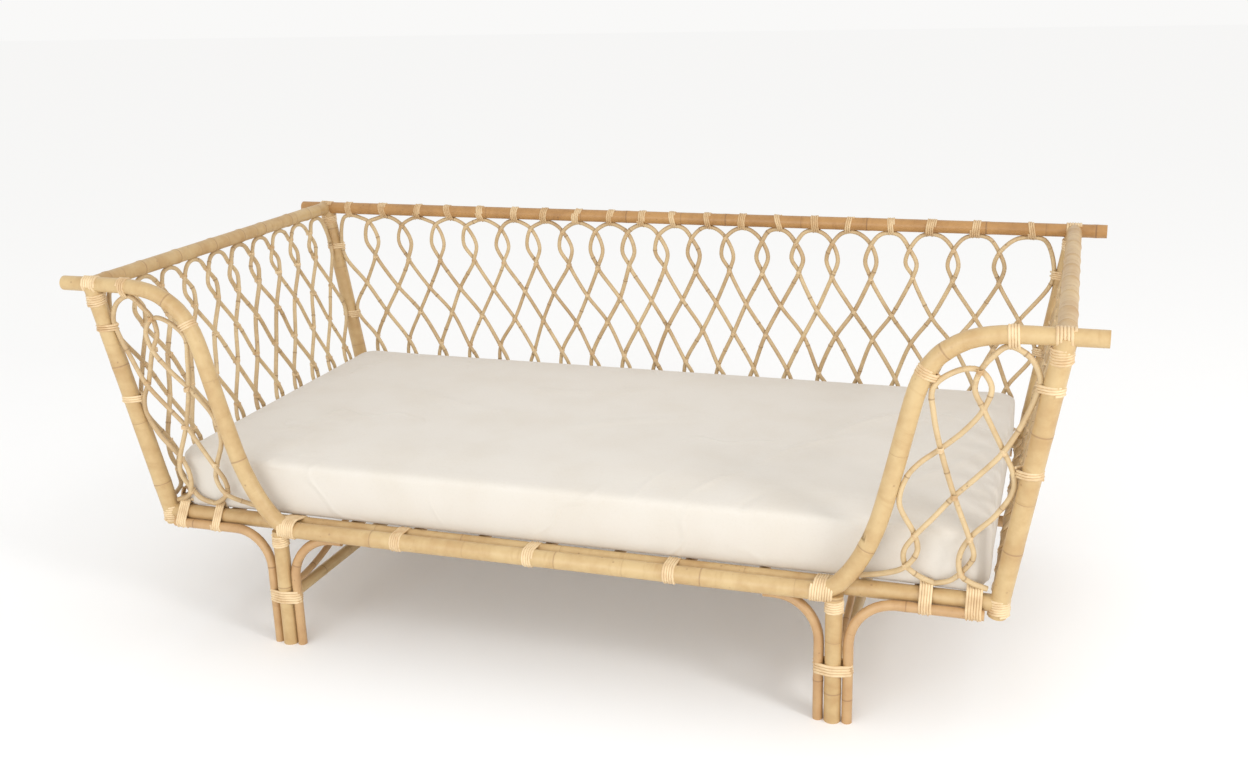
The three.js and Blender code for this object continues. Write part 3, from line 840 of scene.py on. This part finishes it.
# ---- woven panels inside the arms ---------------------------------------------------------------
# share of the way from leg to post at that height, share of the rise; shared crossings are named
HEAD_EYE = (0.662, 0.867)
FOOT_EYE = (0.706, 0.736)
INNER_KNOT = (0.529, 0.58)
OUTER_KNOT = (0.836, 0.585)
MID_KNOT = (0.633, 0.406)
INNER_LOW = (0.449, 0.25)
OUTER_LOW = (0.754, 0.25)
INNER_FOOT = (0.415, 0.128)
OUTER_FOOT = (0.74, 0.11)
ARM_KNOTS = (HEAD_EYE, FOOT_EYE, INNER_KNOT, OUTER_KNOT, MID_KNOT, INNER_LOW, OUTER_LOW,
             INNER_FOOT, OUTER_FOOT)
ARM_WEAVE = (
    ((0.594, "base"), (0.497, 0.083), INNER_FOOT, (0.399, 0.188), INNER_LOW, (0.54, 0.324),
     MID_KNOT, (0.738, 0.491), OUTER_KNOT, (0.897, 0.687), ("post", 0.803), ("post", 0.85),
     (0.87, 0.923), (0.767, "arm"), (0.705, 0.919), HEAD_EYE, (0.65, 0.803), FOOT_EYE,
     OUTER_KNOT, (0.901, 0.515), ("post", 0.446), (0.867, 0.346), OUTER_LOW, (0.714, 0.18),
     OUTER_FOOT, (0.803, 0.077), (0.909, "base")),
    ((0.14, "base"), (0.276, 0.075), INNER_FOOT, (0.475, 0.19), INNER_LOW, ("arm", 0.373),
     ("arm", 0.473), (0.435, 0.527), INNER_KNOT, (0.633, 0.654), FOOT_EYE, (0.725, 0.814),
     HEAD_EYE, (0.572, 0.868), ("arm", 0.803), (0.475, 0.709), INNER_KNOT, MID_KNOT, OUTER_LOW,
     (0.793, 0.179), OUTER_FOOT, (0.684, 0.077), (0.594, "base")),
)
ARM_WEAVE_R = 0.0054


def arm_x(z):
    for before, after in zip(arm_right, arm_right[1:]):
        if before.z <= z < after.z:
            return before.x + (after.x - before.x) * (z - before.z) / (after.z - before.z)
    return arm_right[-1].x


def arm_place(across, up):
    rim = 0.0175 + ARM_WEAVE_R
    if up == "base":
        z = WEAVE_LOW
    elif up == "arm":
        z = TOP_Z - rim
    else:
        z = BASE_Z + RISE * up
    if across == "post":
        x = post_x(z) - RIM * 1.03
    elif across == "arm":
        x = arm_x(z) + rim * 1.16
    else:
        x = LEG_X + (post_x(z) - LEG_X) * across
    to_arm = max(0.0, min(math.hypot(p.x - x, p.z - z) for p in arm_right) - rim)
    to_post = max(0.0, post_x(z) - RIM - x)
    share = max(to_arm / (to_arm + to_post + 1e-6), 1 - (z - WEAVE_LOW) / 0.06)
    y = arm_y(z) + (post_y(z) - arm_y(z)) * min(1.0, share)
    return Vector((x, y, z))


def build_arm_panels():
    for tag, side in SIDES:
        flip = Vector((side, 1, 1))
        canes = []
        for number, table in enumerate(ARM_WEAVE):
            points = []
            for k, (across, up) in enumerate(table):
                place = arm_place(across, up) * flip
                if (across, up) in ARM_KNOTS:
                    place.y += ARM_WEAVE_R * 0.85 * (1 if (k // 2 + number) % 2 else -1)
                points.append(place)
            canes.append(Cane(rounded(points, 6), ARM_WEAVE_R, 0.19, 0.008, wobble=0.03,
                              swell=0.14))
        cane_piece(f"arm_weaving_{tag}", canes, WOVEN_CANE,
                   [f"arm_weave_{tag}"], sides=10)
        ties = [knot(arm_place(*spot) * flip, Y, Z, 4) for spot in ARM_KNOTS]
        tie_piece(f"arm_knots_{tag}", ties, sides=6)


# ---- all the wound bindings -----------------------------------------------------------------------
RAIL_PAIR = ((FRONT_Y, BASE_Z, FRONT_POLE_R), (FRAME_Y, BASE_Z, BASE_R))
ALONG_X = (Y, Z, X)
ALONG_Y = (X, Z, Y)
ALONG_Z = (X, Y, Z)


def band_x(x, circles, turns, width=STRAND, slant=0.0, darker=0.0):
    return wound(circles, Vector((x, 0, 0)), ALONG_X, turns, width, slant, darker)


def band_y(y, circles, turns, width=STRAND, slant=0.0):
    return wound(circles, Vector((0, y, 0)), ALONG_Y, turns, width, slant)


def band_z(z, circles, turns, width=STRAND, slant=0.0):
    return wound(circles, Vector((0, 0, z)), ALONG_Z, turns, width, slant)


def build_rail_bindings():
    for k in (1, 2, 3):
        node = f"front_rail_binding_{k}"
        tie_piece(f"front_binding_{k}", [band_x(middle(node).x, RAIL_PAIR, 4.6)], [node])
    for tag, side in SIDES:
        circles = (*RAIL_PAIR, (FRONT_Y, BASE_Z + 0.006, FRONT_POLE_R))
        over_leg = band_x(side * (LEG_X - 0.024), circles, 8.4, slant=0.003)
        collar_circle = ((side * LEG_X, FRONT_Y, LEG_R),)
        collar = band_z(BASE_Z - 0.028, collar_circle, 5.4)
        tie_piece(f"leg_top_wrap_{tag}", [over_leg, collar], [f"leg_top_binding_{tag}"])


def build_leg_bindings():
    gap = LEG_R + CANE_R
    for tag, side in SIDES:
        for row in ("front", "back"):
            node = f"leg_binding_{row}_{tag}"
            y = FRONT_Y if row == "front" else BACK_Y
            bundle = ((side * LEG_X - gap, y, CANE_R), (side * LEG_X, y, LEG_R),
                      (side * LEG_X + gap, y, CANE_R))
            tie = band_z(middle(node).z, bundle, 4.3, 0.0062)
            inward = 1 if row == "front" else -1
            stretcher = middle(f"stretcher_{tag}").z
            end = ((side * LEG_X, stretcher, STRETCH_R),)
            joint = band_y(y + inward * (LEG_R + 0.016), end, 4)
            tie_piece(f"leg_wrap_{row}_{tag}", [tie, joint], [node])


def build_corner_bindings():
    for tag, side in SIDES:
        for row in ("front", "back"):
            node = f"corner_binding_{row}_{tag}"
            y = FRAME_Y if row == "front" else BACK_Y
            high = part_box(f"leg_cane_outer_{row}_{tag}")[1]
            cane_y = high.y - CANE_R if row == "front" else BACK_Y
            circles = ((y, BASE_Z, BASE_R), (cane_y, high.z - CANE_R, CANE_R),
                       (y, WEAVE_LOW - 0.001, WEAVE_R))
            x = middle(node).x
            bands = [band_x(x, circles, 5.6), band_x(x - side * 0.092, circles, 4.4)]
            low_z = FOOT_Z + 0.022
            foot = ((side * post_x(low_z), post_y(low_z) if row == "front" else BACK_Y, POST_R),)
            bands.append(band_z(low_z, foot, 6.4))
            tie_piece(f"corner_wrap_{row}_{tag}", bands, [node])


BACK_POST_TIES = (0.725, 0.525)
FRONT_POST_TIES = (0.735, 0.565)
ARM_TIES = (0.78, 0.40)      # shares of the way from leg to post


def build_joint_bindings():
    for tag, side in SIDES:
        ties = []
        for y, r in ((ARM_Y, ARM_TOP_R), (BACK_Y, TOP_R)):
            ties.append(band_x(side * (TOP_X - 0.002), ((y, TOP_Z, r),), 5.5, 0.0062))
            drop = TOP_Z - r - 0.017
            at_y = post_y(drop) if y < 0 else BACK_Y
            ring = ((side * post_x(drop), at_y, POST_R),)
            ties.append(band_z(drop, ring, 5.4, STRAND, 0.003))
        for z in BACK_POST_TIES:
            near = ((side * post_x(z), BACK_Y, POST_R),
                    (side * (post_x(z) - RIM - 0.001), BACK_Y, WEAVE_R))
            ties.append(band_z(z, near, 3.6))
        for z in FRONT_POST_TIES:
            near = ((side * post_x(z), post_y(z), POST_R),
                    (side * (post_x(z) - RIM - 0.001), post_y(z), WEAVE_R))
            ties.append(band_z(z, near, 3.6))
        for share in ARM_TIES:
            k = next(i for i, p in enumerate(arm_right)
                     if (p.x - LEG_X) / (TOP_X - LEG_X) >= share)
            place = arm_right[k]
            along = (arm_right[k + 1] - arm_right[k - 1]).normalized()
            up = Y.cross(along) * -1
            flip = Vector((side, 1, 1))
            circles = ((0, 0, ARM_R), (0, -ARM_R - ARM_WEAVE_R * 0.7, ARM_WEAVE_R * 0.9))
            axes = (Y, (up * flip).normalized(), (along * flip).normalized())
            ties.append(wound(circles, place * flip, axes, 3.5, STRAND))
        tie_piece(f"joint_wraps_{tag}", ties)


def build_arch_bindings():
    top = []
    low = []
    for k in range(BACK_ARCHES):
        head = back_place(k + 0.5, WEAVE_TOP, 1.0, 0, 0)
        circles = ((BACK_Y, TOP_Z, TOP_R), (BACK_Y, WEAVE_TOP, WEAVE_R))
        slant = chance.choice((-1, 1)) * chance.uniform(0.001, 0.005)
        top.append(band_x(head.x + chance.uniform(-0.006, 0.006), circles,
                          chance.choice((3.5, 4, 4.5)), 0.0050, slant, 0.3))
        if 0 < k < BACK_ARCHES - 1:
            foot = back_place(k + 0.5, WEAVE_LOW, 0.0, 0, 0)
            circles = ((BACK_Y, BASE_Z, BASE_R), (BACK_Y, WEAVE_LOW, WEAVE_R))
            low.append(band_x(foot.x, circles, 3, 0.0052))
    tie_piece("back_rail_wraps", top, sides=8)
    tie_piece("base_back_wraps", low, sides=8)
    for tag, side in SIDES:
        ties = []
        place = end_place(side)
        for k in range(END_ARCHES):
            foot = place(k + 0.5, WEAVE_LOW, 0.0, 0, 0)
            circles = ((side * FOOT_X, BASE_Z, BASE_R), (foot.x, WEAVE_LOW, WEAVE_R))
            ties.append(band_y(foot.y, circles, 3, 0.0052))
        tie_piece(f"end_wraps_{tag}", ties, sides=8)


# ---- mattress ---------------------------------------------------------------------------------------
EDGE_INSET = 0.003
VOXEL = 0.012
PRESSURE = 4
SWELL_CAP = 0.012
SIM_FRAMES = 20
WRINKLE_GAIN = 1.4
FRONT_EDGE_FROM = -0.395
FRONT_EDGE_SPAN = 0.045
FRONT_EDGE_PUSH = 0.026
# wrinkles across the top: a middle (x, y), a heading in degrees, half length, half width, height
WRINKLES = (
    (0.62, 0.10, 62, 0.24, 0.016, 0.0042), (0.72, 0.05, 66, 0.26, 0.018, -0.0040),
    (0.50, -0.12, 55, 0.20, 0.012, 0.0030), (0.80, -0.12, 70, 0.22, 0.014, 0.0032),
    (0.36, -0.36, 48, 0.09, 0.008, 0.0028), (0.22, -0.38, 60, 0.08, 0.007, 0.0022),
    (0.42, -0.38, 52, 0.07, 0.007, -0.0022), (0.86, 0.22, 60, 0.16, 0.014, 0.0030),
    (-0.45, 0.05, -12, 0.30, 0.020, 0.0016), (-0.15, 0.20, 8, 0.32, 0.022, 0.0014),
    (-0.70, -0.20, 40, 0.14, 0.012, 0.0018), (0.05, -0.05, 30, 0.25, 0.020, 0.0015),
)


def mattress_shape(low, high, inset):
    """A boxy pad with rounded corners and edges."""
    shape = bmesh.new()
    bmesh.ops.create_cube(shape, size=1.0)
    size = high - low - Vector((2 * inset, 2 * inset, inset))
    bmesh.ops.scale(shape, vec=size, verts=shape.verts)
    center = (low + high) / 2 + Vector((0, 0, -inset / 2))
    bmesh.ops.translate(shape, vec=center, verts=shape.verts)
    upright = [e for e in shape.edges
               if abs(e.verts[0].co.z - e.verts[1].co.z) > size.z / 2]
    bmesh.ops.bevel(shape, geom=upright, offset=0.045, segments=8, profile=0.5,
                    affect="EDGES", material=-1)
    rims = [e for e in shape.edges
            if abs(e.verts[0].co.z - e.verts[1].co.z) < 1e-6
            and len(e.link_faces) == 2
            and abs(e.link_faces[0].normal.z - e.link_faces[1].normal.z) > 0.5]
    bmesh.ops.bevel(shape, geom=rims, offset=0.011, segments=4, profile=0.5,
                    affect="EDGES", material=-1)
    return shape


def apply_modifiers(piece):
    depsgraph = bpy.context.evaluated_depsgraph_get()
    made = bpy.data.meshes.new_from_object(piece.evaluated_get(depsgraph))
    old = piece.data
    piece.modifiers.clear()
    piece.data = made
    bpy.data.meshes.remove(old)


def fill_out(piece, low):
    """Let the filling press the cover outwards, and hold back how far it goes."""
    scene = bpy.context.scene
    rest = [v.co.copy() for v in piece.data.vertices]
    cloth = piece.modifiers.new("filling", "CLOTH")
    cloth.settings.quality = 4
    cloth.settings.use_pressure = True
    cloth.settings.uniform_pressure_force = PRESSURE
    cloth.settings.effector_weights.gravity = 0
    cloth.settings.tension_stiffness = 18
    cloth.settings.bending_stiffness = 2
    cloth.point_cache.frame_start = 1
    cloth.point_cache.frame_end = SIM_FRAMES
    for step in range(1, SIM_FRAMES + 1):
        scene.frame_set(step)
    apply_modifiers(piece)
    scene.frame_set(1)
    for vertex, start in zip(piece.data.vertices, rest):
        move = vertex.co - start
        if move.length > SWELL_CAP:
            move *= SWELL_CAP / move.length
        vertex.co = start + move
        vertex.co.z = max(low.z, vertex.co.z)


def wrinkle_height(x, y):
    height = 0.0
    for mid_x, mid_y, heading, length, width, rise in WRINKLES:
        a = math.radians(heading)
        dx = x - mid_x
        dy = y - mid_y
        along = dx * math.cos(a) + dy * math.sin(a)
        across = -dx * math.sin(a) + dy * math.cos(a) + 0.03 * math.sin(along * 9 + heading)
        height += rise * math.exp(-(along / length) ** 2 * 2 - (across / width) ** 2)
    return height


def settle_on_rail(co):
    """The front edge lies on the base rail, just behind the bent pole."""
    reach = min(1.0, max(0.0, (FRONT_EDGE_FROM - co.y) / FRONT_EDGE_SPAN))
    co.y -= FRONT_EDGE_PUSH * reach * reach * (3 - 2 * reach)
    beside = abs(co.y - FRAME_Y)
    if beside < BASE_R:
        co.z = max(co.z, BASE_Z + math.sqrt(BASE_R ** 2 - beside ** 2) + 0.0006)


def build_mattress():
    low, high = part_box("mattress")
    shape = mattress_shape(low, high, EDGE_INSET)
    mesh = bpy.data.meshes.new("mattress_cover")
    shape.to_mesh(mesh)
    shape.free()
    piece = bpy.data.objects.new("mattress_cover", mesh)
    bpy.context.scene.collection.objects.link(piece)
    remesh = piece.modifiers.new("even_faces", "REMESH")
    remesh.mode = "VOXEL"
    remesh.voxel_size = VOXEL
    apply_modifiers(piece)
    fill_out(piece, low)
    finer = piece.modifiers.new("finer", "SUBSURF")
    finer.levels = 1
    finer.render_levels = 1
    apply_modifiers(piece)
    flat = low.z + 0.0005
    for vertex in piece.data.vertices:
        co = vertex.co
        up = min(1.0, max(0.0, (co.z - low.z - 0.09) / 0.03))
        co.z = max(flat, co.z + up * WRINKLE_GAIN * wrinkle_height(co.x, co.y))
        settle_on_rail(co)
    piece.data.materials.clear()
    piece.data.materials.append(COTTON)
    piece.data.polygons.foreach_set("use_smooth", [True] * len(piece.data.polygons))
    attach(piece, "mattress")
    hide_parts("mattress")


build_bent_pole()
build_rails()
build_deck()
build_legs()
build_stretchers()
build_panels()
build_arm_panels()
build_rail_bindings()
build_leg_bindings()
build_corner_bindings()
build_joint_bindings()
build_arch_bindings()
build_mattress()
